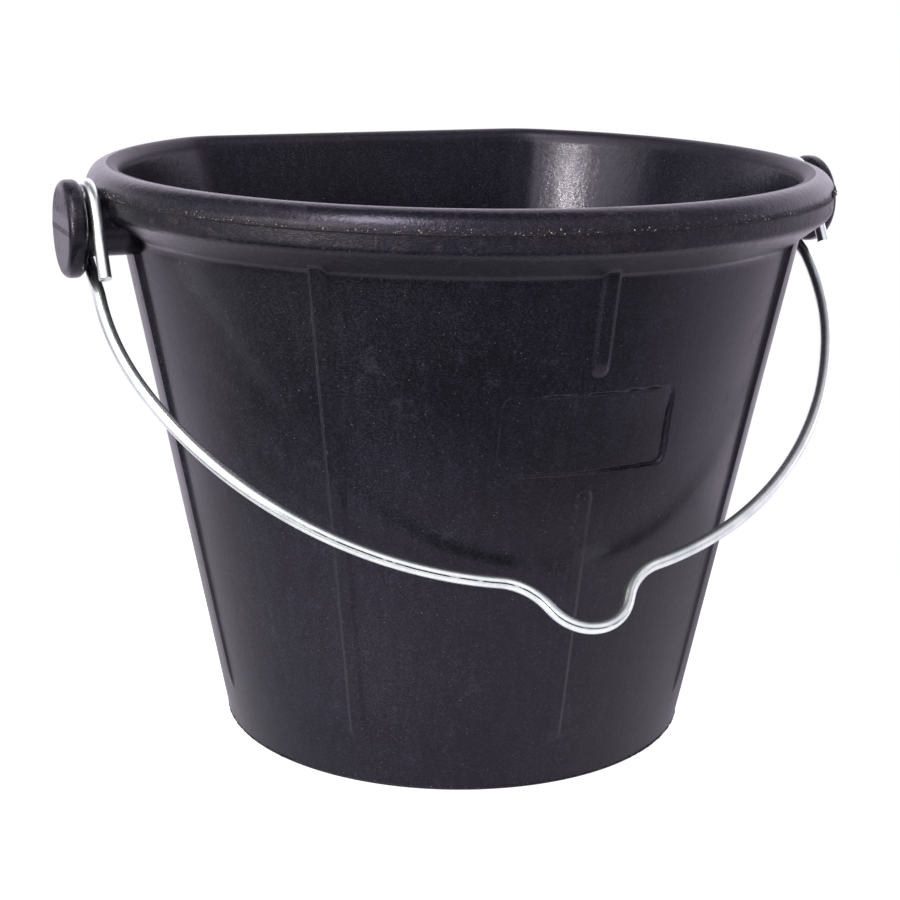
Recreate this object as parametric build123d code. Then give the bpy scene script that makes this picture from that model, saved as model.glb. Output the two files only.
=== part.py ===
from build123d import *
import os
from math import asin, atan, atan2, cos, degrees, hypot, radians, sin, sqrt, tan

# Flat-back rubber bucket with a wire bail, in millimetres.
# The origin is on the ground, on the axis of the round front. The front faces -Y and the flat back +Y.

# Bucket body
height = 291.5              # ground to rim crest
crest_radius = 178.0        # rim crest line, round front
crest_back = 148.5          # rim crest line, from the axis to the flat back
crest_corner = 24.0         # rim crest line, corner between front and back
base_radius = 121.2         # foot of the wall, round front
base_corner = 18.0          # foot of the wall, corner between front and back
base_edge = 1.5             # rounding where the wall meets the ground
wall = 5.4                  # wall thickness, measured level
floor = 8.0                 # floor thickness
floor_fillet = 8.0          # inside rounding between floor and wall

# Rolled rim outside the wall
rim_overhang = 10.0         # crest line to the outermost face, and the rounding between them
rim_band = 7.0              # height of the straight outermost face
rim_bevel = 13.5            # height of the bevel from that face down to the wall
crest_land = 0.6            # flat strip on the crest inside the crest line
crest_edge = 0.2            # by how much the crest's inside rounding misses the wall's slope and leaves an edge

# Ribs down the wall, the last one on each side under a lug
lug_bearing = 87.0          # angle from straight ahead to each lug, degrees
rib_spaces = 2              # equal spaces between the front rib and a lug
rib_width = 9.4             # at the wall
rib_top = 5.2               # flat top of a rib
rib_height = 2.4
rib_end = 0.6               # straight strip between the rounded corners of a rib's end
rib_foot = 24.0             # ground to the lower end of a rib
rib_break = 7.5             # front rib to the label recess

# Label recess at the front, left bare
label_width = 85.0
label_height = 39.0
label_centre = 186.5        # ground to the middle of the recess
label_depth = 1.8
label_corner = 5.0

# Mushroom lugs that carry the bail
lug_drop = 25.0             # rim crest down to the lugs' axis
neck_radius = 13.4
neck_fillet = 1.2           # rounding between neck and disc
disc_radius = 23.0
disc_thickness = 9.4
disc_back_edge = 3.0        # rounding of the disc's edge towards the bucket
disc_face_edge = 2.0        # rounding of the disc's outer edge

# Wire bail, sizes of the wire's centre line
wire = 6.0                  # wire diameter
wire_rim_gap = 1.4          # wire to the rim at its widest
wire_disc_gap = 1.5         # wire to the back of the disc
wire_neck_gap = 0.8         # wire to the neck that it turns on
bail_wall_gap = 4.0         # wire to the front rib at rest, measured level at the bottom of the bow
eye_rise = 3.0              # middle of the hook's eye above the lugs' axis
eye_taper = 15.0            # slope of the hook's two legs, degrees
leg_reach = 36.0            # lugs' axis to the cut end of the wire
bow_offset = 9.5            # lugs' axis to the plane of the main bow
arm_bend = 25.0             # bend from the hook into the main bow
bow_rim_gap = 26.5          # wire to the front of the rim as the bottom of the bow swings past it
bow_turn = 22.0             # turn of each side of the bow before its bottom curve, degrees
notch_drop = 24.3           # bottom of the bow down to the bottom of its middle notch
notch_radius = 22.0
notch_slope = 60.0          # slope of the notch's flanks, degrees
notch_shoulder = 29.0       # bend from the notch into the bow

# Worked out from the sizes above
corner_reach = crest_radius - crest_corner
corner_turn = degrees(atan2(crest_back - crest_corner, sqrt(corner_reach**2 - (crest_back - crest_corner) ** 2)))
draft = (crest_radius - base_radius) / height
rim_radius = crest_radius + rim_overhang
rim_depth = rim_overhang + rim_band + rim_bevel
lug_y = -rim_radius * cos(radians(lug_bearing))
lug_z = height - lug_drop
arm_x = rim_radius + wire_rim_gap + wire / 2
disc_back = arm_x + wire / 2 + wire_disc_gap
bow_reach = rim_radius + lug_y + bow_rim_gap + wire / 2


def wall_radius(z):
    """Outside radius of the bare wall's round front at a height."""
    return base_radius + draft * z


def wall_section(z, inset=0.0):
    """Level section of the wall's outside, moved in by the inset: round front, two corners and flat back."""
    corner = base_corner + (crest_corner - base_corner) * z / height
    reach = wall_radius(z) - corner
    corner_x = reach * cos(radians(corner_turn))
    corner_y = reach * sin(radians(corner_turn))
    front = CenterArc((0, 0), wall_radius(z) - inset, -90, 90 + corner_turn)
    bend = CenterArc((corner_x, corner_y), corner - inset, corner_turn, 90 - corner_turn)
    back_y = corner_y + corner - inset
    back = Line((corner_x, back_y), (-corner_x, back_y))
    outline = [front, bend, back, mirror(bend, Plane.YZ), mirror(front, Plane.YZ)]
    return Pos(0, 0, z) * make_face(outline)


def wall_solid(low, high, inset=0.0):
    """Tapered body inside the wall's outside, between two heights."""
    return loft([wall_section(low, inset), wall_section(high, inset)], ruled=True)


def along_rim(outline):
    """Section drawn from the crest line, outwards and up, carried round the front, the corners and the back."""
    section = make_face(outline)
    corner_x = corner_reach * cos(radians(corner_turn))
    corner_y = corner_reach * sin(radians(corner_turn))

    def placed(x, y, crest, bearing):
        turn = radians(bearing)
        plane = Plane((x, y, height), x_dir=(cos(turn), sin(turn), 0), z_dir=(sin(turn), -cos(turn), 0))
        return plane * Pos(crest, 0) * section

    front = revolve(placed(0, 0, crest_radius, 180 - corner_turn), Axis.Z, 180 + 2 * corner_turn)
    corner_axis = Axis((corner_x, corner_y, 0), (0, 0, 1))
    corner = revolve(placed(corner_x, corner_y, crest_corner, corner_turn), corner_axis, 90 - corner_turn)
    back = extrude(placed(corner_x, corner_y, crest_corner, 90), 2 * corner_x, dir=(-1, 0, 0))
    return front + corner + mirror(corner, Plane.YZ) + back


def make_rim():
    """Rolled rim: rounded shoulder, straight band and a bevel back to the wall."""
    wall_foot = -draft * rim_depth
    inside = wall_foot - wall
    band_foot = -rim_overhang - rim_band
    return along_rim([
        Line((inside, 0), (0, 0)),
        CenterArc((0, -rim_overhang), rim_overhang, 0, 90),
        Polyline((rim_overhang, -rim_overhang), (rim_overhang, band_foot), (wall_foot, -rim_depth),
                 (inside, -rim_depth), (inside, 0)),
    ])


def make_crest_cut():
    """What is taken off the inside of the crest to round it."""
    radius = (wall - crest_land) / (sqrt(1 + draft**2) - draft) + crest_edge
    rounding = CenterArc((-crest_land, -radius), radius, 90, 90 - degrees(atan(draft)))
    inside = -crest_land - radius - wall
    above = radius
    return along_rim([
        rounding,
        Polyline(rounding @ 1, (inside, (rounding @ 1).Y), (inside, above), (-crest_land, above), rounding @ 0),
    ])


def make_rib(bearing, low, high):
    """Raised rib on the round front between two heights, at a bearing from straight ahead, rooted in the wall."""
    turn = radians(bearing - 90)
    slope = atan(draft)
    middle = (low + high) / 2
    foot = Vector(wall_radius(middle) * cos(turn), wall_radius(middle) * sin(turn), middle)
    outward = Vector(cos(turn) * cos(slope), sin(turn) * cos(slope), -sin(slope))
    side_slope = atan2((rib_width - rib_top) / 2, rib_height)
    root = wall / 2
    spread = root * tan(side_slope)
    plane = Plane(foot - outward * root, x_dir=(-sin(turn), cos(turn), 0), z_dir=outward)
    width = rib_width + 2 * spread
    outline = RectangleRounded(width, (high - low) / cos(slope) + 2 * spread, (width - rib_end) / 2)
    return extrude(plane * outline, root + rib_height, taper=degrees(side_slope))


def make_ribs():
    """All the ribs. The front one breaks off above and below the label recess."""
    top = height - rim_overhang - rim_band
    label_clear = label_height / 2 + rib_break
    ribs = [make_rib(0, rib_foot, label_centre - label_clear), make_rib(0, label_centre + label_clear, top)]
    for step in range(1, rib_spaces + 1):
        bearing = lug_bearing * step / rib_spaces
        ribs += [make_rib(bearing, rib_foot, top), make_rib(-bearing, rib_foot, top)]
    return ribs


def make_lugs():
    """Mushroom lugs, turned about their common axis: a neck out of the wall and a disc that keeps the bail on."""
    root = wall_radius(lug_z - neck_radius) - wall / 2
    face = disc_back + disc_thickness
    turned = FilletPolyline((root, neck_radius), (disc_back, neck_radius), (disc_back, disc_radius),
                            (face, disc_radius), (face, 0), radius=[neck_fillet, disc_back_edge, disc_face_edge])
    section = make_face([turned, Polyline((face, 0), (root, 0), (root, neck_radius))])
    lug = Pos(0, lug_y, lug_z) * revolve(section, Axis.X)
    return [lug, mirror(lug, Plane.YZ)]


def make_label_pocket():
    """Shallow pocket in the front, with a floor that follows the wall."""
    outline = Plane.XZ * Pos(0, label_centre) * RectangleRounded(label_width, label_height, label_corner)
    return extrude(outline, rim_radius) - wall_solid(0, height, label_depth)


def make_bucket():
    """One moulding: wall, rim, ribs and lugs, hollowed out, with a rounded crest and its label recess."""
    body = wall_solid(0, height - rim_overhang)
    body = fillet(body.edges().group_by(Axis.Z)[0], base_edge)
    hollow = wall_solid(floor, height + rim_overhang, wall)
    hollow = fillet(hollow.edges().group_by(Axis.Z)[0], floor_fillet)
    body = body + [make_rim()] + make_ribs() + make_lugs()
    return body - hollow - make_crest_cut() - make_label_pocket()


def make_hook():
    """Hook round the +X lug, from the cut end of the wire to the start of the bow, and how far down that start is.

    Both functions for the wire work in the bail's own axes: the bucket's X, then from the lugs' axis towards the
    bottom of the bow, then across the bail from its front side to its back side.
    """
    taper = radians(eye_taper)
    eye_radius = neck_radius + wire_neck_gap + wire / 2 + eye_rise * sin(taper)
    eye_foot = eye_radius * sin(taper) - eye_rise
    eye_half = eye_radius * cos(taper)
    knee = eye_foot + (eye_half - bow_offset) / tan(taper)
    setback = arm_bend * tan(taper / 2)
    cut_end = Vector(arm_x, leg_reach, (leg_reach - eye_foot) * tan(taper) - eye_half)
    leg_top = Vector(arm_x, eye_foot, -eye_half)
    arm_top = Vector(arm_x, eye_foot, eye_half)
    bend_top = Vector(arm_x, knee - setback * cos(taper), bow_offset + setback * sin(taper))
    bend_foot = Vector(arm_x, knee + setback, bow_offset)
    path = [
        Line(cut_end, leg_top),
        TangentArc(leg_top, arm_top, tangent=leg_top - cut_end),
        Line(arm_top, bend_top),
        TangentArc(bend_top, bend_foot, tangent=bend_top - arm_top),
    ]
    return path, bend_foot


def make_half_bow(arm_end):
    """Half of the bow, from the foot of the +X hook to the middle of the notch."""
    side_out = Vector(1, 0, 0).rotate(Axis.Z, bow_turn)
    fall = bow_reach - arm_end.Y
    bow_radius = (arm_x * side_out.Y - fall * (1 - side_out.X)) / (side_out.X + side_out.Y - 1)
    bow_centre = Vector(0, bow_reach - bow_radius, bow_offset)
    side_foot = bow_centre + side_out * bow_radius

    along = Vector(1, 0, 0).rotate(Axis.Z, -notch_slope)
    beside = Vector(0, 1, 0).rotate(Axis.Z, -notch_slope)
    notch_foot = Vector(0, bow_reach + notch_drop, bow_offset)
    flank_foot = notch_foot + (beside - Vector(0, 1, 0)) * notch_radius
    reach = flank_foot + beside * notch_shoulder - bow_centre
    shoulder_reach = bow_radius + notch_shoulder
    flank_length = -reach.dot(along) - sqrt(reach.dot(along) ** 2 - reach.dot(reach) + shoulder_reach**2)
    flank_top = flank_foot + along * flank_length
    shoulder_out = (reach + along * flank_length) * (1 / shoulder_reach)
    shoulder_top = bow_centre + shoulder_out * bow_radius

    return [
        TangentArc(arm_end, side_foot, tangent=(0, 1, 0)),
        TangentArc(side_foot, shoulder_top, tangent=side_out.rotate(Axis.Z, 90)),
        TangentArc(shoulder_top, flank_top, tangent=shoulder_out.rotate(Axis.Z, 90)),
        Line(flank_top, flank_foot),
        TangentArc(flank_foot, notch_foot, tangent=along * -1),
    ]


def rest_tilt():
    """Angle from straight down, in radians, at which the bottom of the bow is its gap away from the front rib."""
    rib_and_wire = (rib_height + wire / 2) * sqrt(1 + draft**2)
    to_wire = wall_radius(lug_z) + rib_and_wire + bail_wall_gap + lug_y
    level = bow_reach + draft * bow_offset
    upright = draft * bow_reach - bow_offset
    return asin(to_wire / hypot(level, upright)) - atan2(upright, level)


def make_bail():
    """One bent wire: two open hooks round the lugs' necks, a bow between them and a notch at its middle."""
    hook, arm_end = make_hook()
    half = Curve() + hook + make_half_bow(arm_end)
    path = half + mirror(half, Plane.YZ)
    cut_end = Plane(hook[0] @ 0, z_dir=hook[0] % 0)
    tilt = rest_tilt()
    rest = Plane((0, lug_y, lug_z), x_dir=(1, 0, 0), z_dir=(0, cos(tilt), -sin(tilt)))
    return rest * sweep(cut_end * Circle(wire / 2), path)


os.makedirs("parts", exist_ok=True)
export_step(make_bucket(), "parts/bucket.step")
export_step(make_bail(), "parts/bail.step")
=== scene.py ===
from math import asin, atan, atan2, cos, hypot, radians, sin, sqrt, tan

import bpy
import numpy as np
from mathutils import Matrix, Vector, noise


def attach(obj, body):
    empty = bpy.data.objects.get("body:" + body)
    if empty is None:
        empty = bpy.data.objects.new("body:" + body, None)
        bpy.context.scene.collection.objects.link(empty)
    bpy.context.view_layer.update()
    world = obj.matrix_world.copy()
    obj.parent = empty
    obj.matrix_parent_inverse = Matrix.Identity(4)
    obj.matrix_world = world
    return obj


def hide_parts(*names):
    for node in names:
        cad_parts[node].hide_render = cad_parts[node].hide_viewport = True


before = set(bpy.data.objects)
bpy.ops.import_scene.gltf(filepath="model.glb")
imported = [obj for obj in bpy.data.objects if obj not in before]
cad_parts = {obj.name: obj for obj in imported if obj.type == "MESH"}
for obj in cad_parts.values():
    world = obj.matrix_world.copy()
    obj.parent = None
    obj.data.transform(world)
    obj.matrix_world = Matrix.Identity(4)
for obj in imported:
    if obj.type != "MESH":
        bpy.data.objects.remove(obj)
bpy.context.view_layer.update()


# Bucket body: one thick moulding in black rubber, with a round front, a flat back, a rolled rim, five ribs
# and a bare, shallow recess at the front. It is pressed hot in a steel mould, so its edges are soft, its
# skin is satin and its wall waves a little. Sizes are in millimetres.

mm = 0.001
height = 291.5
crest_radius, crest_back, crest_corner = 178.0, 148.5, 38.0
base_radius, base_corner, base_edge = 121.2, 27.0, 1.5
wall, floor, floor_fillet = 5.4, 8.0, 8.0
rim_overhang, rim_band, rim_bevel, crest_land = 10.0, 8.6, 11.9, 0.6
lug_bearing = 87.0
rib_bearings = lug_bearing * np.linspace(-1, 1, 5)
rib_width, rib_top, rib_height, rib_end, rib_foot, rib_break = 9.4, 5.2, 2.4, 0.6, 24.0, 7.5
recess_width, recess_height, recess_centre, recess_depth, recess_corner = 85.0, 39.0, 186.5, 1.8, 5.0
flash_room = 0.4            # the rim lies this far inside its full size, so that its flash can stand out
seam_step = 0.35            # the lower mould half's face lies this far inside the upper one's
edge_soft = 2.4             # rounding between the rim's straight band and its bevel
foot_soft = 1.4             # rounding between the bevel and the wall
waviness = 0.12             # how far the moulded skin waves in and out
broad_wave, small_wave, small_share = 55.0, 17.0, 0.4

draft = (crest_radius - base_radius) / height
slope = atan(draft)
corner_reach = crest_radius - crest_corner
corner_turn = asin((crest_back - crest_corner) / corner_reach)
rim_depth = rim_overhang + rim_band + rim_bevel
rim_foot = height - rim_depth
seam_z = height - rim_overhang
rim_reach = rim_overhang - flash_room
band_out = rim_reach - seam_step

# Columns round the outline: close together at the ribs and at the recess's edges, wider between them
rib_side = np.array([0, 1.3, 2.1, 2.5, 2.9, 3.5, 4.1, 4.6, 5.0, 6.0])
recess_side = np.concatenate([np.arange(8, 38, 2.0), recess_width / 2 + np.linspace(-5, 1.5, 14), [47.0]])
front_side = np.concatenate([rib_side, recess_side])
column_gaps = [28, 20, 13, 13, 20, 28]
corner_columns, back_columns = 14, 24


def both_sides(side):
    """Offsets on both sides of a middle column."""
    return np.concatenate([-side[:0:-1], side])


def front_angles(radius):
    """Bearings of the columns round the front, from its left end to its right, on a wall of a radius."""
    end = 90 + np.degrees(corner_turn)
    angles = [np.array([-end])]
    for bearing, gap in zip(rib_bearings, column_gaps):
        offsets = both_sides(front_side if bearing == 0 else rib_side)
        group = bearing + np.degrees(np.arcsin(offsets / radius))
        angles += [np.linspace(angles[-1][-1], group[0], gap + 2)[1:-1], group]
    angles.append(np.linspace(angles[-1][-1], end, column_gaps[-1] + 2)[1:])
    return np.concatenate(angles)


def outline(level, out=0.0):
    """Plan of the wall at a height, moved outwards: each column's point, outward direction and bearing."""
    corner = base_corner + (crest_corner - base_corner) * level / height
    radius = base_radius + draft * level
    reach = radius - corner
    corner_x, corner_y = reach * cos(corner_turn), reach * sin(corner_turn)
    angles = front_angles(radius)
    bend = np.linspace(corner_turn, np.pi / 2, corner_columns + 1)[1:]
    across = np.linspace(1, -1, back_columns + 1)[1:]
    behind = np.full(back_columns, np.pi / 2)
    turns = np.concatenate([np.radians(angles - 90), bend, behind, np.pi - bend[-2::-1]])
    outward = np.stack([np.cos(turns), np.sin(turns)], 1)
    right_corner = len(angles)
    back = right_corner + corner_columns
    left_corner = back + back_columns
    middle = np.zeros_like(outward)
    middle[right_corner:, 1] = corner_y
    middle[right_corner:back, 0] = corner_x
    middle[back:left_corner, 0] = corner_x * across
    middle[left_corner:, 0] = -corner_x
    sweep = np.full(len(turns), corner)
    sweep[:right_corner] = radius
    bearings = np.full(len(turns), 180.0)
    bearings[:right_corner] = angles
    return middle + outward * (sweep + out)[:, None], outward, bearings


def rounded_box(u, v, half_u, half_v, corner):
    """Distance outside a rectangle with rounded corners, negative inside it."""
    du, dv = np.abs(u) - half_u + corner, np.abs(v) - half_v + corner
    return np.hypot(np.maximum(du, 0), np.maximum(dv, 0)) + np.minimum(np.maximum(du, dv), 0) - corner


def soft_step(t):
    """Smooth rise from 0 to 1."""
    t = np.clip(t, 0, 1)
    return t * t * (3 - 2 * t)


# The ribs are worn into the mould: they stand out most under the rim and least near the foot
wear_low, wear_gain, rib_run_in, rib_run_start = 0.32, 0.72, 14.0, 0.25
row_reach = 45              # degrees to each side within which a rib or the recess lies
recess_clear = recess_height / 2 + rib_break
rib_spans = [(0.0, rib_foot, recess_centre - recess_clear), (0.0, recess_centre + recess_clear, seam_z)]
rib_spans += [(bearing, rib_foot, seam_z) for bearing in rib_bearings if bearing]


def along_row(radius, away):
    """Distance to the side of a bearing, by the angle away from it, and far off beyond the row's reach."""
    return np.where(np.abs(away) < row_reach, radius * np.sin(np.radians(away)), radius)


def rib_relief(z, radius, bearings):
    """How far the ribs stand out of the wall, along one row."""
    out = np.zeros(len(bearings))
    for bearing, low, high in rib_spans:
        u = along_row(radius, bearings - bearing)
        v = (z - (low + high) / 2) / cos(slope)
        gap = rounded_box(u, v, rib_width / 2, (high - low) / 2 / cos(slope), (rib_width - rib_end) / 2)
        climb = np.clip(-2 * gap / (rib_width - rib_top), 0, 1)
        worn = (wear_low + wear_gain * z / height) * soft_step((z - low) / rib_run_in + rib_run_start)
        out += rib_height * worn * (climb + soft_step(climb)) / 2
    return out


# The recess is deepest at its right and almost flush at its top, and its edge is uneven
recess_middle, recess_tilt, recess_top_loss = 0.60, 0.34, 1.8
edge_run, edge_run_top, edge_uneven, edge_grain, edge_layer = 1.2, 1.4, 0.3, 4.0, 7.0

# The joint line of the mould's insert runs just inside that edge, open at the right, in dashes along the top
# and closed at the corners
joint_depth, joint_inset, joint_half, joint_grain, joint_layer = 2.0, 0.3, 0.8, 8.0, 3.0
joint_left, joint_run, joint_top = -8.0, 36.0, 12.0
top_left_share, top_start, top_contrast = 0.6, 0.15, 2.4
side_left_share, side_least, side_start, side_contrast = 0.15, 0.5, 0.55, 2.2
joint_corner, joint_corner_run, joint_corner_loss = 8.0, 5.0, 0.85


def patches(x, z, grain, layer):
    """Uneven patches of a size in millimetres, along one row."""
    return np.array([noise.noise(Vector((a / grain, z / grain, layer))) for a in x])


def at_least(least, share):
    """Lifts a share of 0 to 1 so that it starts at the least one."""
    return least + (1 - least) * share


def recess_relief(z, x):
    """How far the recess and its joint line sink into the wall, along one row."""
    from_middle = z - recess_centre
    gap = rounded_box(x, from_middle, recess_width / 2, recess_height / 2, recess_corner)
    gap = gap + edge_uneven * patches(x, z, edge_grain, edge_layer)
    above = soft_step(from_middle / recess_height)
    tilted = recess_middle + recess_tilt * np.clip(2 * x / recess_width, -1, 1)
    sink = recess_depth * tilted * (1 - recess_top_loss * above)
    patchy = patches(x, z, joint_grain, joint_layer)
    to_right = soft_step((x - joint_left) / joint_run)
    if from_middle > joint_top:
        joint = at_least(top_left_share, to_right) * soft_step(top_start + top_contrast * patchy)
    else:
        patchy = soft_step(side_start + side_contrast * patchy)
        joint = at_least(side_left_share, to_right) * at_least(side_least, patchy)
    near_side = soft_step((np.abs(x) - recess_width / 2 + joint_corner) / joint_corner_run)
    near_end = soft_step((abs(from_middle) - recess_height / 2 + joint_corner) / joint_corner_run)
    joint = joint_depth * joint * (1 - joint_corner_loss * near_side * near_end)
    across_joint = np.maximum(1 - np.abs(gap + joint_inset) / joint_half, 0)
    return sink * soft_step(0.5 - gap / (edge_run + edge_run_top * above)) + joint * across_joint


def relief(z, bearings):
    """How far the ribs stand out of the wall and the recess sinks into it, along one row."""
    radius = base_radius + draft * z
    return rib_relief(z, radius, bearings) - recess_relief(z, along_row(radius, bearings))


rows, hollow, seam = [], [], []


def at_height(points, z):
    """Points of a plan, all at one height."""
    return np.column_stack([points, np.full(len(points), z)])


def add_row(points, z, in_hollow=0.0, at_seam=0.0):
    """Adds one ring at a height, with how far it is inside the bucket and how near the seam."""
    rows.append(at_height(points, z))
    hollow.append(in_hollow)
    seam.append(at_seam)


def skin_wave(x, y, z):
    """Broad waves of the skin with smaller ones on them, both always inwards."""
    spot = Vector((x, y, z))
    return 1 + small_share + noise.noise(spot / broad_wave) + small_share * noise.noise(spot / small_wave)


def add_ring(level, out, z, **marks):
    """Adds a ring along the outline at a level, moved outwards, with the skin's waves."""
    points, outward, _ = outline(level)
    waves = np.array([skin_wave(x, y, z) for x, y in points])
    points = points + outward * (out - waviness * waves)[:, None]
    add_row(points, z, **marks)


# Underside and foot
foot_points = outline(0.0, -base_edge * (1 + tan(slope)))[0]
for share in (0.04, 0.2, 0.4, 0.6, 0.8, 0.93, 1.0):
    add_row(foot_points * share, 0.0)
tangent_z = base_edge * (1 - sin(slope))
for turn in np.linspace(radians(75), slope, 5):
    add_ring(tangent_z, base_edge * (cos(turn) - cos(slope)), base_edge * (1 - sin(turn)))

# Outside of the wall: rows close together at the ribs' ends and at the recess's edges, wider between them
low_edge, high_edge = recess_centre - recess_height / 2, recess_centre + recess_height / 2
wall_rows = np.concatenate([
    [3, 6, 10, 14, 18], np.arange(20, 32, 1.0), [34, 38], np.arange(45, 150, 7.5), [152],
    np.arange(154, 163, 1.0), [164.5], low_edge + np.linspace(-1.5, 5, 14), np.arange(174.5, 200, 2.6),
    high_edge + np.linspace(-5, 1.5, 14), np.arange(209.5, 220, 1.0), [222, 226],
    np.arange(232, 256, 6.0), [257],
])
for z in wall_rows:
    add_ring(z, relief(z, outline(z)[2]), z)

# Bevel, straight band, seam, shoulder and crest of the rim
bevel_run = Vector((band_out + draft * rim_depth, rim_bevel)).normalized()
band_foot = Vector((band_out, -rim_overhang - rim_band))
bevel_end = band_foot - bevel_run * edge_soft
band_start = band_foot + Vector((0, edge_soft))
foot_ring, _, bearings = outline(rim_foot)
crest_ring, outward, _ = outline(height)
round_front = bearings != 180
foot_shift = 0.18           # the rounding at the bevel's foot passes this far from its corner


def add_bevel_row(share, out_shift=0.0, up_shift=0.0):
    """Adds a ring on the bevel, from the wall at 0 to the band at 1. A rib shows until it is covered."""
    top = crest_ring + outward * bevel_end.x
    z = rim_foot + (height + bevel_end.y - rim_foot) * share + up_shift
    points = foot_ring + (top - foot_ring) * share + outward * out_shift
    rib_reach = base_radius + draft * z + relief(z, bearings)
    reach = np.hypot(points[:, 0], points[:, 1])
    stretch = np.where(round_front, np.maximum(rib_reach / reach, 1), 1)
    add_row(points * stretch[:, None], z)


bevel_start = rim_foot - foot_soft
add_ring(bevel_start, relief(bevel_start, bearings), bevel_start)
add_bevel_row(0.0, foot_shift, -foot_shift)
for share in (0.08, 0.15, 0.25, 0.4, 0.55, 0.7, 0.85, 1.0):
    add_bevel_row(share)
for t in (0.2, 0.4, 0.6, 0.8, 1.0):
    bend = bevel_end * (1 - t) ** 2 + band_foot * (2 * t * (1 - t)) + band_start * t * t
    add_ring(height, bend.x, height + bend.y)

# Depth under the seam, share of the step between the mould's halves, and how rough the skin is there
seam_rows = ((2.2, 0, 0), (1.2, 0, 0), (0.7, 0, 0.3), (0.45, 0.05, 0.8), (0.25, 0.7, 1), (0.0, 1, 1))
rough_turn, smooth_turn = 7, 21
for depth, step, mark in seam_rows:
    add_ring(height, band_out + seam_step * step, seam_z - depth, at_seam=mark)
for turn in (3, 7, 12, 18, 25, 33, 41, 49, 57, 65, 72, 79, 85, 90):
    arc = radians(turn)
    mark = 1 - soft_step((turn - rough_turn) / (smooth_turn - rough_turn))
    add_ring(height, rim_reach * cos(arc), seam_z + rim_overhang * sin(arc), at_seam=mark)
crest_round = (wall - crest_land) / (sqrt(1 + draft**2) - draft)
for turn in np.linspace(np.pi / 2, np.pi - slope, 10):
    out = crest_round * cos(turn) - crest_land
    add_ring(height, out, height + crest_round * (sin(turn) - 1), in_hollow=0.5)

# Inside of the wall, its rounding at the floor, and the floor
for z in np.concatenate([[283, 279], np.arange(272, 24, -9.0), [19, 16.5]]):
    add_ring(z, -wall, z, in_hollow=1.0)
fillet_level = floor + floor_fillet * (1 - sin(slope))
for turn in np.linspace(slope, np.pi / 2, 9):
    out = -wall + floor_fillet * (cos(turn) - cos(slope))
    add_ring(fillet_level, out, floor + floor_fillet * (1 - sin(turn)), in_hollow=1.0)
floor_points = rows[-1][:, :2]
for share in (0.93, 0.8, 0.6, 0.4, 0.2, 0.04):
    add_row(floor_points * share, floor, in_hollow=1.0)


def ring_mesh(name, rings, marks):
    """Closed mesh through rings of equally many points, with a point in the middle of each end."""
    count = len(rings[0])
    ends = [rings[0].mean(0), rings[-1].mean(0)]
    points = np.concatenate(rings + [np.array(ends)]) * mm
    here = np.arange(count)
    beside = (here + 1) % count
    faces = []
    for row in range(len(rings) - 1):
        low, high = row * count, (row + 1) * count
        faces += np.stack([low + here, low + beside, high + beside, high + here], 1).tolist()
    first, last = len(rings) * count, len(rings) * count + 1
    faces += [(first, b, a) for a, b in zip(here.tolist(), beside.tolist())]
    top = (len(rings) - 1) * count
    faces += [(last, top + a, top + b) for a, b in zip(here.tolist(), beside.tolist())]
    mesh = bpy.data.meshes.new(name)
    mesh.from_pydata(points.tolist(), [], faces)
    for mark, values in marks.items():
        column = np.concatenate([np.repeat(values, count), [values[0], values[-1]]]).astype(np.float32)
        mesh.attributes.new(mark, "FLOAT", "POINT").data.foreach_set("value", column)
    mesh.shade_smooth()
    piece = bpy.data.objects.new(name, mesh)
    bpy.context.scene.collection.objects.link(piece)
    return piece


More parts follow.
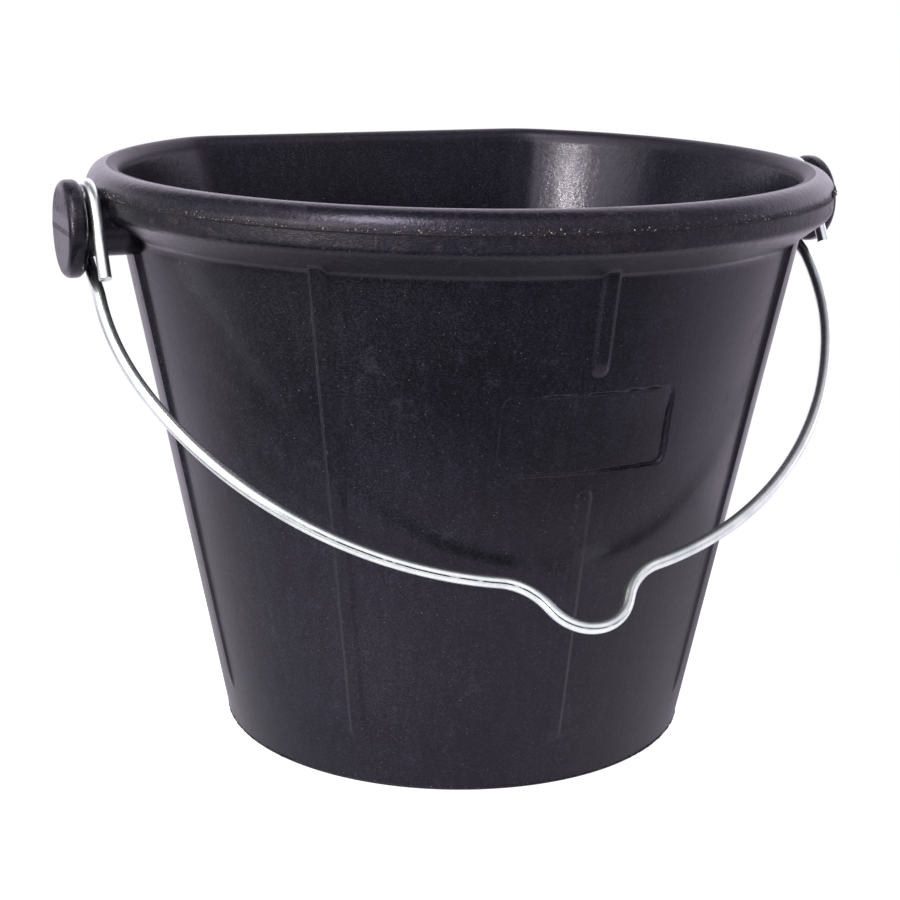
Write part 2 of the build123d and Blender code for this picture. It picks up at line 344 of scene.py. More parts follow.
class Flow:
    """An output in a node tree. Arithmetic on it adds Math nodes, and node() adds any other node."""

    def __init__(self, tree, socket=None):
        self.tree, self.socket = tree, socket

    def node(self, kind, settings=None, sockets=None, out=0):
        """Adds a node with its settings and the values or links of its sockets. A list links several."""
        made = self.tree.nodes.new(kind)
        for name, value in (settings or {}).items():
            setattr(made, name, value)
        for name, value in (sockets or {}).items():
            for end in value if isinstance(value, list) else [value]:
                if isinstance(end, Flow):
                    self.tree.links.new(end.socket, made.inputs[name])
                else:
                    made.inputs[name].default_value = end
        return Flow(self.tree, made.outputs[out] if made.outputs else None)

    def other(self, out):
        """Another output of the same node."""
        return Flow(self.tree, self.socket.node.outputs[out])

    def math(self, operation, *values):
        """Adds a Math node."""
        return self.node("ShaderNodeMath", {"operation": operation}, dict(enumerate(values)))

    def __add__(self, other):
        return self.math("ADD", self, other)

    def __sub__(self, other):
        return self.math("SUBTRACT", self, other)

    def __rsub__(self, other):
        return self.math("SUBTRACT", other, self)

    def __mul__(self, other):
        return self.math("MULTIPLY", self, other)

    __radd__, __rmul__ = __add__, __mul__

    def rise(self, low, high):
        """0 below low, 1 above high, smooth between."""
        ends = {"Value": self, "From Min": low, "From Max": high}
        return self.node("ShaderNodeMapRange", {"interpolation_type": "SMOOTHSTEP"}, ends)

    def band(self, low, full, fade, high):
        """0 below low, 1 from full to fade, 0 above high, smooth between."""
        return self.rise(low, full) - self.rise(fade, high)

    def axis(self, name):
        """X, Y or Z of a place or a direction."""
        return self.node("ShaderNodeSeparateXYZ", None, {"Vector": self}, out=name)

    def attribute(self, name):
        """A value that is kept at the points of the mesh."""
        return self.node("ShaderNodeAttribute", {"attribute_name": name}, out="Fac")

    def bump(self, strength, depth):
        """Normal of a skin that rises where this does, by a depth in metres."""
        sockets = {"Strength": strength, "Distance": depth, "Height": self}
        return self.node("ShaderNodeBump", None, sockets, out="Normal")

    def tint(self, colour, other):
        """Colour where this is 0, the other colour where it is 1."""
        ends = [end if isinstance(end, Flow) else (*end, 1) for end in (colour, other)]
        return self.node("ShaderNodeMix", {"data_type": "RGBA"}, {0: self, 6: ends[0], 7: ends[1]}, out=2)

    def speckle(self, scale, detail=3, rough=0.5, at=None):
        """Noise of a number of grains to the metre."""
        sockets = {"Vector": at or self, "Scale": scale, "Detail": detail, "Roughness": rough}
        return self.node("ShaderNodeTexNoise", None, sockets)


def new_finish(name, base, **constants):
    """A material, the start of its node tree and its shader, with the values that are the same all over."""
    material = bpy.data.materials.new(name)
    material.use_nodes = True
    material.diffuse_color = (*base, 1)
    shader = material.node_tree.nodes["Principled BSDF"]
    for socket, value in constants.items():
        shader.inputs[socket.replace("_", " ")].default_value = value
    return material, Flow(material.node_tree), shader


def connect(shader, **flows):
    """Feeds what varies over the surface into the shader."""
    for socket, flow in flows.items():
        flow.tree.links.new(flow.socket, shader.inputs[socket.replace("_", " ")])


rubber_dark = (0.0015, 0.0016, 0.0028)
rubber_pale, rubber_warm = (0.0172, 0.0190, 0.0294), (0.0205, 0.0202, 0.0256)
rubber_sheen, rubber_ior = (0.90, 0.80, 1.0, 1.0), 1.37
dust_colour, grime_colour = (0.34, 0.31, 0.29), (0.060, 0.036, 0.027)
handled_heights = (0.2725, 0.2755, 0.2825, 0.2860)      # metres up, where hands have rubbed the rim
coarse_heights = (0.258, 0.272)                         # metres up, where the mould's skin turns coarser


def dust_specks(place, scale, size, share):
    """Small round specks, in a share of the cells of a grid of a number to the metre."""
    away = place.node("ShaderNodeTexVoronoi", None, {"Vector": place, "Scale": scale}, out="Distance")
    lot = place.node("ShaderNodeSeparateColor", None, {"Color": away.other("Color")}, out="Red")
    return (1 - away.rise(size * 0.4, size)) * lot.rise(1 - share, 1.02 - share)


def rubber_finish(name):
    """Moulded black rubber: satin skin with a fine grain, flow marks, pale dust and a rough seam."""
    material, start, shader = new_finish(name, rubber_dark, IOR=rubber_ior, Specular_Tint=rubber_sheen)
    place = start.node("ShaderNodeTexCoord", out="Object")
    inner, edge = start.attribute("hollow"), start.attribute("seam")

    # Marks of the mould, and what rubbed or settled on the skin
    level_marks = place.node("ShaderNodeMapping", None, {"Vector": place, "Scale": (0.55, 0.55, 1.0)})
    upright_marks = place.node("ShaderNodeMapping", None, {"Vector": place, "Scale": (1.0, 1.0, 0.16)})
    grain = place.speckle(1500, 2, 0.6)
    hairs = place.speckle(1300, 3, 0.65, at=level_marks)
    flow_marks = place.speckle(230, 3, 0.6, at=upright_marks)
    pores = place.speckle(330, 3, 0.6)
    cloud = place.speckle(15, 4, 0.55)
    up = place.axis("Z")
    handled = up.band(*handled_heights) * (1 - inner)
    rubbed = handled * place.speckle(210, 5, 0.72, at=level_marks).rise(0.50, 0.70)
    scuffs = place.speckle(75, 5, 0.7).rise(0.56, 0.74)
    dust = 0.7 * dust_specks(place, 150.0, 0.06, 0.22) + 0.5 * dust_specks(place, 430.0, 0.15, 0.24)
    crumbs = edge * place.speckle(900, 2).rise(0.62, 0.70)

    # Colour
    tone = 0.38 * hairs + 0.38 * grain + 0.12 * cloud + 0.12 * flow_marks + 0.07 * scuffs
    pale = place.speckle(11, 2).rise(0.40, 0.62).tint(rubber_pale, rubber_warm)
    skin = tone.rise(0.45, 0.68).tint(rubber_dark, pale)
    skin = (edge * pores.rise(0.5, 0.7) * 0.15 + rubbed * pores * 0.35).tint(skin, grime_colour)
    skin = (dust * 0.42 + crumbs * 0.3).tint(skin, dust_colour)

    # Relief and gloss
    coarse = (1 - inner) * up.rise(*coarse_heights) + 0.3 * inner
    relief_mix = 0.30 * grain + 0.40 * hairs + 0.40 * pores + 0.60 * flow_marks + 1.2 * crumbs + 2.2 * rubbed
    relief_mix = relief_mix + coarse * (1.5 * pores + 0.5 * hairs)
    crest = inner.band(0.0, 0.45, 0.55, 0.95)
    gloss = 0.20 + 0.10 * cloud + 0.08 * pores + 0.12 * scuffs - 0.14 * inner + 0.20 * edge + 0.3 * dust
    gloss = gloss + 0.25 * crest + 0.15 * rubbed + 0.10 * handled
    connect(shader, Base_Color=skin, Roughness=gloss, Normal=relief_mix.bump(0.35, 0.0003))
    return material


rubber = rubber_finish("moulded_rubber")
body = ring_mesh("bucket_body", rows, {"hollow": hollow, "seam": seam})
body.data.materials.append(rubber)
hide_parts("bucket")
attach(body, "bucket")


# Lugs: two mushroom-shaped knobs in the same rubber, one on each side of the rim, moulded with the body.
# Each has a round neck for the bail's hook and a disc with rounded edges that keeps the hook on.

lug_drop = 25.0
neck_radius, neck_fillet = 13.4, 1.2
disc_radius, disc_thickness, disc_back_edge, disc_face_edge = 23.0, 9.4, 3.4, 3.6
wire, wire_rim_gap, wire_disc_gap, wire_neck_gap = 6.0, 1.4, 1.5, 0.8
flash_proud = 0.3           # the trimmed flash stands this far out of the disc's face, within its thickness
lug_y = -(crest_radius + rim_overhang) * cos(radians(lug_bearing))
lug_z = height - lug_drop
arm_x = crest_radius + rim_overhang + wire_rim_gap + wire / 2
disc_back = arm_x + wire / 2 + wire_disc_gap
disc_face = disc_back + disc_thickness - flash_proud
lug_columns = 72


def bend_points(centre, radius, start, stop, steps):
    """Points along a rounding of the turned section, from one angle to another in degrees."""
    return [(centre[0] + radius * cos(t), centre[1] + radius * sin(t))
            for t in np.radians(np.linspace(start, stop, steps))]


neck_bend = (disc_back - neck_fillet, neck_radius + neck_fillet)
back_bend = (disc_back + disc_back_edge, disc_radius - disc_back_edge)
face_bend = (disc_face - disc_face_edge, disc_radius - disc_face_edge)
lug_section = [(0.0, 1.0), (0.0, 7.0), (0.0, neck_radius), (crest_radius, neck_radius)]
lug_section += bend_points(neck_bend, neck_fillet, -90, 0, 5)
lug_section += bend_points(back_bend, disc_back_edge, 180, 90, 9)
lug_section += bend_points(face_bend, disc_face_edge, 90, 0, 8)
lug_section += [(disc_face, r) for r in (17.0, 12.0, 7.0, 3.0, 1.0)]
lug_marks = np.zeros(len(lug_section))
around = np.linspace(0, 2 * np.pi, lug_columns, endpoint=False)


def lug_rings(side):
    """Rings of the lug on one side, +1 or -1, about the lugs' common axis. Its root lies inside the wall."""
    rings = []
    for x, r in lug_section:
        y, z = lug_y - r * np.sin(around * side), lug_z + r * np.cos(around)
        root = np.sqrt((base_radius + draft * z - wall / 2) ** 2 - y**2)
        rings.append(np.column_stack([side * np.maximum(x, root), y, z]))
    return rings


for side, name in ((-1, "lug_left"), (1, "lug_right")):
    lug = ring_mesh(name, lug_rings(side), {"hollow": lug_marks, "seam": lug_marks})
    lug.data.materials.append(rubber)
    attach(lug, "bucket")


# Flash: the thin ragged skin of rubber that squeezed out between the mould's halves and was trimmed by hand.
# It leaves a broken ridge with crumbs round the rim, a torn rag at the rim's right, a rough strip across
# each lug's disc and a frayed edge round the foot.

ridge_step = 0.0011         # metres between the points along a ridge
ridge_least = 0.12          # share of its thickness that a ridge keeps where it breaks
ridge_full, ridge_sides = 0.75, 6
shake_grain, patch_grain, crowd_grain = 420.0, 95.0, 45.0
full_turn = 6.28


def new_tree(name, inputs):
    """A geometry node tree with named inputs, and the start of its nodes."""
    tree = bpy.data.node_groups.new(name, "GeometryNodeTree")
    tree.interface.new_socket("Path", in_out="INPUT", socket_type="NodeSocketGeometry")
    for label, kind in inputs.items():
        tree.interface.new_socket(label, in_out="INPUT", socket_type=kind)
    tree.interface.new_socket("Mesh", in_out="OUTPUT", socket_type="NodeSocketGeometry")
    start = Flow(tree)
    given = start.node("NodeGroupInput").socket.node.outputs
    return tree, start, {socket.name: Flow(tree, socket) for socket in given if socket.name}


def store(geometry, domain, name, value):
    """Keeps a value on each point or instance, for the finish to read."""
    return geometry.node("GeometryNodeStoreNamedAttribute", {"data_type": "FLOAT", "domain": domain},
                         {"Geometry": geometry, "Name": name, "Value": value})


def sweep_round(path, sides, radius, mark=None):
    """A round bar along a path, closed at its ends, with a marked value round it where one is given."""
    ring = path.node("GeometryNodeCurvePrimitiveCircle", {"mode": "RADIUS"},
                     {"Resolution": sides, "Radius": radius})
    if mark:
        ring = store(ring, "POINT", *mark)
    sockets = {"Curve": path, "Profile Curve": ring, "Fill Caps": True}
    return path.node("GeometryNodeCurveToMesh", None, sockets)


def close_tree(geometry, material):
    """Ends a tree: realised, smooth and with its material."""
    real = geometry.node("GeometryNodeRealizeInstances", None, {"Geometry": geometry})
    smooth = real.node("GeometryNodeSetShadeSmooth", None, {"Geometry": real})
    dressed = smooth.node("GeometryNodeSetMaterial", None, {"Geometry": smooth, "Material": material})
    dressed.node("NodeGroupOutput", None, {"Mesh": dressed})


def grow(name, paths, tree, values):
    """Runs a tree along paths of points, each open or closed, and keeps the result as a plain mesh."""
    points, edges = [], []
    for path, closed in paths:
        first = len(points)
        points += [tuple(Vector(p) * mm) for p in path]
        edges += [(i, i + 1) for i in range(first, len(points) - 1)]
        if closed:
            edges.append((len(points) - 1, first))
    line = bpy.data.meshes.new(name + "_path")
    line.from_pydata(points, edges, [])
    piece = bpy.data.objects.new(name, line)
    bpy.context.scene.collection.objects.link(piece)
    work = piece.modifiers.new("grow", "NODES")
    work.node_group = tree
    for socket in tree.interface.items_tree:
        if socket.in_out == "INPUT" and socket.name in values:
            work[socket.identifier] = values[socket.name]
    made = bpy.data.meshes.new_from_object(piece.evaluated_get(bpy.context.evaluated_depsgraph_get()))
    piece.modifiers.remove(work)
    piece.data = made
    made.name = name
    bpy.data.meshes.remove(line)
    return piece


# A ridge with its thickness, breaks and wander, and crumbs with their size, spacing and spread up a surface
# of a radius, which is very large where the surface is flat
flash_tree, start, given = new_tree("mould_flash", {
    "Ridge": "NodeSocketFloat", "Breaks": "NodeSocketFloat", "Wander": "NodeSocketFloat",
    "Crumb": "NodeSocketFloat", "Spacing": "NodeSocketFloat", "Spread": "NodeSocketFloat",
    "Round": "NodeSocketFloat", "Seed": "NodeSocketInt",
})
line = start.node("GeometryNodeMeshToCurve", None, {"Mesh": given["Path"]})
fine = line.node("GeometryNodeResampleCurve", {"mode": "LENGTH"}, {"Curve": line, "Length": ridge_step})
where = start.node("GeometryNodeInputPosition")
shake = where.speckle(shake_grain, 2.0).other("Color")
centred = shake.node("ShaderNodeVectorMath", {"operation": "SUBTRACT"}, {0: shake, 1: (0.5, 0.5, 0.5)})
wander = centred.node("ShaderNodeVectorMath", {"operation": "SCALE"}, {0: centred, "Scale": given["Wander"]})
moved = fine.node("GeometryNodeSetPosition", None, {"Geometry": fine, "Offset": wander})
thick = where.speckle(patch_grain, 3.0).rise(given["Breaks"], ridge_full) + ridge_least
sized = moved.node("GeometryNodeSetCurveRadius", None, {"Curve": moved, "Radius": thick})
ridge = sweep_round(sized, ridge_sides, given["Ridge"])

dots = line.node("GeometryNodeCurveToPoints", {"mode": "LENGTH"},
                 {"Curve": line, "Length": given["Spacing"]}, out="Points")
tangent = dots.other("Tangent")
outwards = tangent.node("ShaderNodeVectorMath", {"operation": "CROSS_PRODUCT"}, {0: tangent, 1: (0, 0, 1)})


def chance(low, high, salt):
    """Random number for each crumb, from a seed of its own."""
    sockets = {2: low, 3: high, "Seed": given["Seed"] + salt}
    return start.node("FunctionNodeRandomValue", {"data_type": "FLOAT"}, sockets, out=1)


climb = chance(0.0, 1.0, 1) * chance(0.0, 1.0, 2) * given["Spread"]
inward = climb * climb * -0.5
inward = inward.math("DIVIDE", inward, given["Round"])
step_out = outwards.node("ShaderNodeVectorMath", {"operation": "SCALE"}, {0: outwards, "Scale": inward})
step_up = start.node("ShaderNodeCombineXYZ", None, {"Z": climb})
stray = step_out.node("ShaderNodeVectorMath", {"operation": "ADD"}, {0: step_out, 1: step_up})
strewn = dots.node("GeometryNodeSetPosition", None, {"Geometry": dots, "Offset": stray})
kept = where.speckle(crowd_grain, 2.0).rise(0.40, 0.62) - chance(0.0, 1.0, 3)
keep = kept.node("FunctionNodeCompare", {"operation": "GREATER_THAN"}, {0: kept, 1: 0.0})
lump = start.node("GeometryNodeMeshIcoSphere", None, {"Radius": 1.0, "Subdivisions": 1})
size = chance(0.25, 1.0, 4) * given["Crumb"]
long_side = size * chance(0.8, 1.5, 5)
shape = start.node("ShaderNodeCombineXYZ", None, {"X": long_side, "Y": size, "Z": size * 0.8})
turns = {"X": chance(0.0, full_turn, 6), "Y": chance(0.0, full_turn, 7), "Z": chance(0.0, full_turn, 8)}
spin = start.node("ShaderNodeCombineXYZ", None, turns)
crumbs = strewn.node("GeometryNodeInstanceOnPoints", None, {
    "Points": strewn, "Selection": keep, "Instance": lump, "Rotation": spin, "Scale": shape})
dusted = store(crumbs, "INSTANCE", "dust", chance(0.0, 1.0, 9))
joined = start.node("GeometryNodeJoinGeometry", None, {"Geometry": [dusted, ridge]})

flash_rubber, start, shader = new_finish("flash_rubber", rubber_dark, IOR=rubber_ior,
                                         Specular_Tint=rubber_sheen)
place = start.node("ShaderNodeTexCoord", out="Object")
torn_skin = place.speckle(700, 3, 0.6)
tone = (torn_skin.rise(0.45, 0.75) * 0.5).tint(rubber_dark, grime_colour)
tone = (start.attribute("dust").rise(0.70, 0.92) * 0.9).tint(tone, dust_colour)
connect(shader, Base_Color=tone, Roughness=0.5 + 0.25 * torn_skin, Normal=torn_skin.bump(0.5, 0.0003))
close_tree(joined, flash_rubber)

# Paths of the flash, sunk a little into the rubber: round the rim, round the foot, along the rag, which
# wavers up and down over the seam, and in three lines across each lug's disc
rim_sunk, foot_sunk, rag_sunk, disc_sunk = 0.2, 0.3, 0.3, 0.85
rim_line, foot_line = seam_z + 0.1, 1.4
rag_rise, rag_waver, rag_waves = 0.6, 1.2, 9
rag_reach = crest_radius + rim_reach - rag_sunk
rag_bearings = np.radians(np.linspace(50, 80, 40))
strip_lines, strip_run = (-0.9, 0.0, 0.9), np.linspace(-20.0, 20.0, 40)


def rag_point(turn):
    """A place on the rag at a bearing."""
    z = seam_z + rag_rise + rag_waver * sin(rag_waves * turn)
    return (rag_reach * sin(turn), -rag_reach * cos(turn), z)


rim_path = at_height(outline(height, rim_reach - rim_sunk)[0], rim_line)
foot_path = at_height(outline(foot_line, -foot_sunk)[0], foot_line)
rag_path = [rag_point(turn) for turn in rag_bearings]
strips = []
for side in (-1, 1):
    face = side * (disc_face - disc_sunk)
    for line_up in strip_lines:
        strips.append(([(face, lug_y - y, lug_z + line_up) for y in strip_run], False))
rim_flash = grow("rim_flash", [(rim_path, True)], flash_tree, {
    "Ridge": 0.3 * mm, "Breaks": 0.42, "Wander": 0.5 * mm, "Crumb": 0.36 * mm, "Spacing": 0.42 * mm,
    "Spread": 4.5 * mm, "Round": rim_overhang * mm, "Seed": 11})
foot_flash = grow("foot_flash", [(foot_path, True)], flash_tree, {
    "Ridge": 0.5 * mm, "Breaks": 0.42, "Wander": 1.1 * mm, "Crumb": 0.5 * mm, "Spacing": 1.4 * mm,
    "Spread": 1.0 * mm, "Round": 50 * mm, "Seed": 23})
lug_flash = grow("lug_flash", strips, flash_tree, {
    "Ridge": 1.0 * mm, "Breaks": -0.2, "Wander": 0.4 * mm, "Crumb": 0.25 * mm, "Spacing": 0.8 * mm,
    "Spread": 0.8 * mm, "Round": 5000 * mm, "Seed": 37})
torn_flash = grow("torn_flash", [(rag_path, False)], flash_tree, {
    "Ridge": 0.9 * mm, "Breaks": 0.36, "Wander": 2.0 * mm, "Crumb": 1.0 * mm, "Spacing": 0.8 * mm,
    "Spread": 4.0 * mm, "Round": rim_overhang * mm, "Seed": 41})
for flash in (rim_flash, torn_flash, foot_flash, lug_flash):
    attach(flash, "bucket")


# Bail: one length of bright zinc-plated steel wire, bent cold. An open teardrop hook at each end turns on
# a lug, and a notch at mid-span keeps the bucket centred on a hook or peg.

bail_wall_gap, bow_rim_gap, bow_turn = 4.0, 26.5, radians(22.0)
eye_rise, eye_taper, leg_reach = 3.0, radians(15), 36.0
bow_offset, arm_bend = 9.5, 25.0
notch_drop, notch_radius, notch_slope, notch_shoulder = 24.3, 22.0, radians(60), 29.0
bow_reach = crest_radius + rim_overhang + lug_y + bow_rim_gap + wire / 2
path_step, straight_steps = 1.1, 6      # a bend's longest step, and how many of them a straight step spans
tight_bend, tight_step, wide_steps = 60.0, 0.06, 90     # a wide bend's steps are counted for each radian


def straight(path, end):
    """Carries a path on in a straight line."""
    start = path[-1]
    steps = max(1, round((end - start).length / (straight_steps * path_step)))
    path += [start.lerp(end, i / steps) for i in range(1, steps + 1)]


def bend_to(path, end, heading):
    """Carries a path on in an arc that starts in a direction."""
    start, heading = path[-1], heading.normalized()
    chord = end - start
    across = chord - heading * chord.dot(heading)
    across.normalize()
    radius = chord.length_squared / (2 * chord.dot(across))
    turn = 2 * atan2(chord.dot(across), chord.dot(heading))
    steps = round(turn * wide_steps)
    if radius < tight_bend:
        steps = max(4, round(radius * turn / min(path_step, radius * tight_step)))
    for i in range(1, steps + 1):
        t = turn * i / steps
        path.append(start + heading * (radius * sin(t)) + across * (radius * (1 - cos(t))))


def half_bail():
    """Wire's centre line from the +X hook's cut end to the notch's middle, in the bail's own axes."""
    # Hook and arm
    eye_radius = neck_radius + wire_neck_gap + wire / 2 + eye_rise * sin(eye_taper)
    eye_foot = eye_radius * sin(eye_taper) - eye_rise
    eye_half = eye_radius * cos(eye_taper)
    knee = eye_foot + (eye_half - bow_offset) / tan(eye_taper)
    setback = arm_bend * tan(eye_taper / 2)
    cut_end = Vector((arm_x, leg_reach, (leg_reach - eye_foot) * tan(eye_taper) - eye_half))
    leg_top = Vector((arm_x, eye_foot, -eye_half))
    arm_top = Vector((arm_x, eye_foot, eye_half))
    bend_top = Vector((arm_x, knee - setback * cos(eye_taper), bow_offset + setback * sin(eye_taper)))
    arm_end = Vector((arm_x, knee + setback, bow_offset))
    path = [cut_end]
    straight(path, leg_top)
    bend_to(path, arm_top, leg_top - cut_end)
    straight(path, bend_top)
    bend_to(path, arm_end, bend_top - arm_top)

    # Bow and notch, in arcs that run into each other
    side_out = Vector((cos(bow_turn), sin(bow_turn), 0))
    fall = bow_reach - arm_end.y
    bow_radius = (arm_x * side_out.y - fall * (1 - side_out.x)) / (side_out.x + side_out.y - 1)
    bow_centre = Vector((0, bow_reach - bow_radius, bow_offset))
    side_foot = bow_centre + side_out * bow_radius
    along = Vector((cos(notch_slope), -sin(notch_slope), 0))
    beside = Vector((sin(notch_slope), cos(notch_slope), 0))
    notch_foot = Vector((0, bow_reach + notch_drop, bow_offset))
    flank_foot = notch_foot + (beside - Vector((0, 1, 0))) * notch_radius
    reach = flank_foot + beside * notch_shoulder - bow_centre
    shoulder_reach = bow_radius + notch_shoulder
    length = -reach.dot(along) - sqrt(reach.dot(along) ** 2 - reach.length_squared + shoulder_reach**2)
    flank_top = flank_foot + along * length
    shoulder_out = (reach + along * length) / shoulder_reach
    shoulder_top = bow_centre + shoulder_out * bow_radius
    bend_to(path, side_foot, Vector((0, 1, 0)))
    bend_to(path, shoulder_top, Vector((-side_out.y, side_out.x, 0)))
    bend_to(path, flank_top, Vector((-shoulder_out.y, shoulder_out.x, 0)))
    straight(path, flank_foot)
    bend_to(path, notch_foot, -along)
    return path


# At rest the bow hangs at the front, with its gap to the rib there
to_wire = base_radius + draft * lug_z + (rib_height + wire / 2) * sqrt(1 + draft**2) + bail_wall_gap + lug_y
run_out, run_up = bow_reach + draft * bow_offset, draft * bow_reach - bow_offset
tilt = asin(to_wire / hypot(run_out, run_up)) - atan2(run_up, run_out)
down, across = Vector((0, -sin(tilt), -cos(tilt))), Vector((0, cos(tilt), -sin(tilt)))
half = half_bail()
bail_path = half + [Vector((-p.x, p.y, p.z)) for p in half[-2::-1]]
bail_path = [Vector((p.x, lug_y, lug_z)) + down * p.y + across * p.z for p in bail_path]

wire_tree, start, given = new_tree("drawn_wire", {"Diameter": "NodeSocketFloat", "Sides": "NodeSocketInt"})
line = start.node("GeometryNodeMeshToCurve", None, {"Mesh": given["Path"]})
run = start.node("GeometryNodeSplineParameter", out="Length")
marked = store(line, "POINT", "along", run)
share = start.node("GeometryNodeSplineParameter", out="Factor")
rod = sweep_round(marked, given["Sides"], given["Diameter"] * 0.5, ("round", share))

dark_reflection_turn, dark_reflection_core, dark_reflection_edge = 0.165, 0.012, 0.020      # where round the wire a painted dark reflection lies, as a black line
dark_reflection_reach = (-0.140, -0.110, -0.030, 0.050)             # metres sideways, where that painted dark reflection line shows
streaks_along, streaks_round = 25, 26
zinc_bright, zinc_dull = (0.92, 0.98, 0.92), (0.70, 0.76, 0.75)
zinc_scuffed, dark_reflection_black = (0.33, 0.33, 0.34), (0.02, 0.02, 0.02)
zinc, start, shader = new_finish("zinc_plate", zinc_bright, Metallic=1.0)
place = start.node("ShaderNodeTexCoord", out="Object")
along, turned = start.attribute("along"), start.attribute("round")
drawn = start.node("ShaderNodeCombineXYZ", None, {"X": along * streaks_along, "Y": turned * streaks_round})
streaks = place.speckle(1.0, 4, 0.65, at=drawn)
bloom = place.speckle(70, 4, 0.6)
scuffs = place.speckle(330, 3, 0.7).rise(0.62, 0.74)
plate = bloom.rise(0.38, 0.72).tint(zinc_bright, zinc_dull)
plate = (scuffs * 0.5).tint(plate, zinc_scuffed)
wavering = turned + 0.03 * place.speckle(60, 2)
# Painted dark reflection: a black line at one place round the wire, shown only along some stretches of the
# bail
dark_reflection_line = wavering.band(dark_reflection_turn - dark_reflection_edge, dark_reflection_turn - dark_reflection_core, dark_reflection_turn + dark_reflection_core, dark_reflection_turn + dark_reflection_edge)
dark_reflection_line = dark_reflection_line * place.speckle(110, 3, 0.6).rise(0.34, 0.46)
dark_reflection_line = dark_reflection_line * place.axis("X").band(*dark_reflection_reach)
plate = (dark_reflection_line * 0.95).tint(plate, dark_reflection_black)
gloss = 0.18 + 0.14 * streaks + 0.08 * bloom + 0.15 * scuffs
connect(shader, Base_Color=plate, Roughness=gloss, Normal=streaks.bump(0.18, 0.0002))
close_tree(rod, zinc)

bail = grow("bail_wire", [(bail_path, False)], wire_tree, {"Diameter": wire * mm, "Sides": 28})
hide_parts("bail")
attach(bail, "bail")


# Stage: a round of pale paper under the bucket, a soft box high at the left, a narrow strip light below it,
# graded surroundings for the satin rubber to mirror, and a camera at the photograph's angle.

floor_reach, floor_columns = 0.36, 96
paper_dim, paper_light = (0.28, 0.28, 0.28), (0.32, 0.32, 0.32)
glow_front, glow_left, glow_right = (0.64, 0.60, 0.69), (0.38, 0.35, 0.42), (0.25, 0.23, 0.28)
paper_seen = (0.92, 0.92, 0.92)         # how bright the paper looks to the camera itself
disc = bpy.data.meshes.new("floor")
floor_turns = np.linspace(0, 2 * np.pi, floor_columns, endpoint=False)
floor_edge = [(floor_reach * cos(t), floor_reach * sin(t), 0.0) for t in floor_turns]
disc.from_pydata(floor_edge, [], [list(range(floor_columns))])
stage = bpy.data.objects.new("floor", disc)
bpy.context.scene.collection.objects.link(stage)
paper, start, shader = new_finish("pale_paper", (0.82, 0.82, 0.82), Roughness=0.8, Emission_Strength=1.0)
place = start.node("ShaderNodeTexCoord", out="Object")
seen = start.node("ShaderNodeLightPath", out="Is Camera Ray")
# Painted light: the paper glows brighter in front and at the left and dimmer at the right, where the
# bucket's shade would fall, for the rubber to mirror; the camera itself sees it evenly bright
side_glow = place.axis("X").rise(-0.15, 0.15).tint(glow_left, glow_right)
paper_glow = place.axis("Y").rise(-0.20, 0.0).tint(glow_front, side_glow)
connect(shader, Base_Color=place.speckle(40, 2).tint(paper_dim, paper_light),
        Emission_Color=seen.tint(paper_glow, paper_seen))
disc.materials.append(paper)


def soft_box(name, place, target, width, tall, power, colour):
    """A rectangular light that faces a point."""
    lamp = bpy.data.lights.new(name, "AREA")
    lamp.shape, lamp.size, lamp.size_y = "RECTANGLE", width, tall
    lamp.energy, lamp.color = power, colour
    box = bpy.data.objects.new(name, lamp)
    box.location = place
    box.rotation_euler = (Vector(target) - Vector(place)).to_track_quat("-Z", "Y").to_euler()
    bpy.context.scene.collection.objects.link(box)


def stand_at(bearing, reach, rise):
    """A place at a bearing from straight ahead towards the left, in degrees, at a distance and a height."""
    return (-reach * sin(radians(bearing)), -reach * cos(radians(bearing)), rise)


box_white, strip_white = (1.0, 0.98, 1.02), (1.0, 1.03, 0.89)
soft_box("front_box", stand_at(54, 1.2, 1.55), (0, 0, 0.28),
         width=0.45, tall=0.7, power=27, colour=box_white)
soft_box("left_strip", stand_at(67.0, 1.5, 0.50), (0, 0, 0.25),
         width=0.018, tall=0.3, power=11.5, colour=strip_white)

world = bpy.data.worlds.new("studio")
bpy.context.scene.world = world
world.use_nodes = True
air = Flow(world.node_tree)
seen = air.node("ShaderNodeLightPath", out="Is Camera Ray")
toward = air.node("ShaderNodeTexCoord", out="Generated")
level = toward.axis("Z")


def heading(bearing, rise=0.0):
    """How nearly a ray heads for a bearing and a height: 1 straight at it, below 0 away from it."""
    ends = {0: toward, 1: stand_at(bearing, 1.0, rise)}
    return toward.node("ShaderNodeVectorMath", {"operation": "DOT_PRODUCT"}, ends, out="Value")


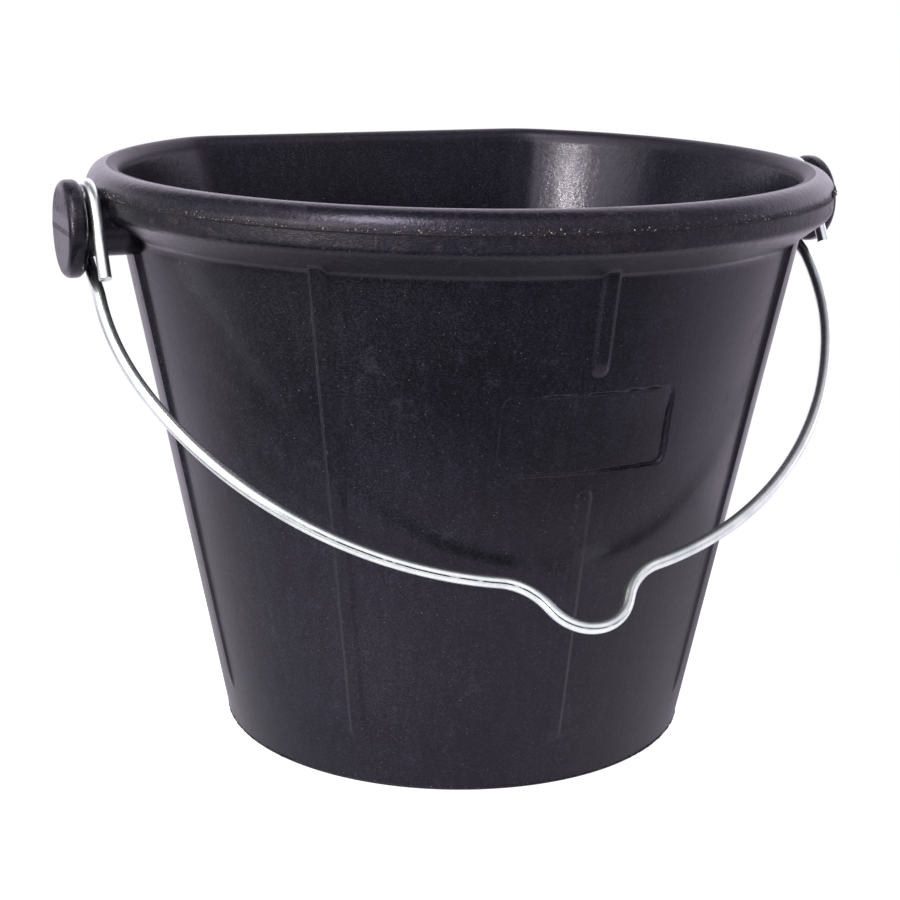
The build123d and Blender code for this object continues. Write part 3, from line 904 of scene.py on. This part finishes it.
# Shares of light in front, behind and in the window, from straight down at level -1 to straight up at 1
front = 0.10 + 0.06 * level.rise(-0.57, -0.54) + 0.84 * level.rise(-0.52, -0.28)
front = front - 0.58 * level.rise(-0.18, 0.08) - 0.75 * level.band(-0.16, -0.11, -0.04, 0.01)
front = front + 0.48 * level.rise(0.20, 0.50) - 0.80 * level.rise(0.85, 0.97)
far = 1 - 0.40 * level.rise(-0.75, -0.30) - 0.08 * level.rise(-0.38, -0.26)
far = far + 0.42 * level.rise(-0.20, 0.05) - 0.86 * level.rise(0.15, 0.50)
far = far + 0.75 * heading(-140).rise(0.42, 0.62) * level.rise(0.10, 0.35)
far = far - 0.6 * heading(105).rise(0.60, 0.88) * level.band(-0.38, -0.26, 0.08, 0.22)
near_window = heading(68, 0.16).rise(0.83, 1.01)
window = near_window * near_window * level.band(0.03, 0.09, 0.24, 0.32)

dark, backdrop_seen = (0.0, 0.0, 0.0), (1.0, 1.0, 1.0)
far_light, front_light, window_light = (1.66, 1.52, 1.80), (1.2, 1.15, 1.27), (5.2, 5.2, 5.1)
glow = heading(33).rise(-0.5, 0.3).tint(far.tint(dark, far_light), front.tint(dark, front_light))
glow = window.tint(glow, window_light)
connect(world.node_tree.nodes["Background"], Color=seen.tint(glow, backdrop_seen))

# Camera as fitted to the photograph, in millimetres, with its focal length in pixels
view_azimuth, view_elevation, view_roll = radians(22.45), radians(15.123), radians(0.901)
view_distance, view_side, view_up, focal_pixels = 1006.5, -3.2, 8.648, 1897.9
view_middle, frame_pixels = Vector((0, 0, 130)), 900
level_back = cos(view_elevation)
back = Vector((-sin(view_azimuth) * level_back, -cos(view_azimuth) * level_back, sin(view_elevation)))
right = Vector((cos(view_azimuth), -sin(view_azimuth), 0))
up = back.cross(right)
stand = view_middle + right * view_side + up * view_up + back * view_distance
rolled_right = right * cos(view_roll) + up * sin(view_roll)
rolled_up = up * cos(view_roll) - right * sin(view_roll)
lens = bpy.data.cameras.new("camera")
lens.lens = focal_pixels * lens.sensor_width / frame_pixels
camera = bpy.data.objects.new("camera", lens)
turned_to = Matrix((rolled_right, rolled_up, back)).transposed()
camera.matrix_world = Matrix.Translation(stand * mm) @ turned_to.to_4x4()
bpy.context.scene.collection.objects.link(camera)
bpy.context.scene.camera = camera
bpy.context.scene.view_settings.view_transform = "Standard"
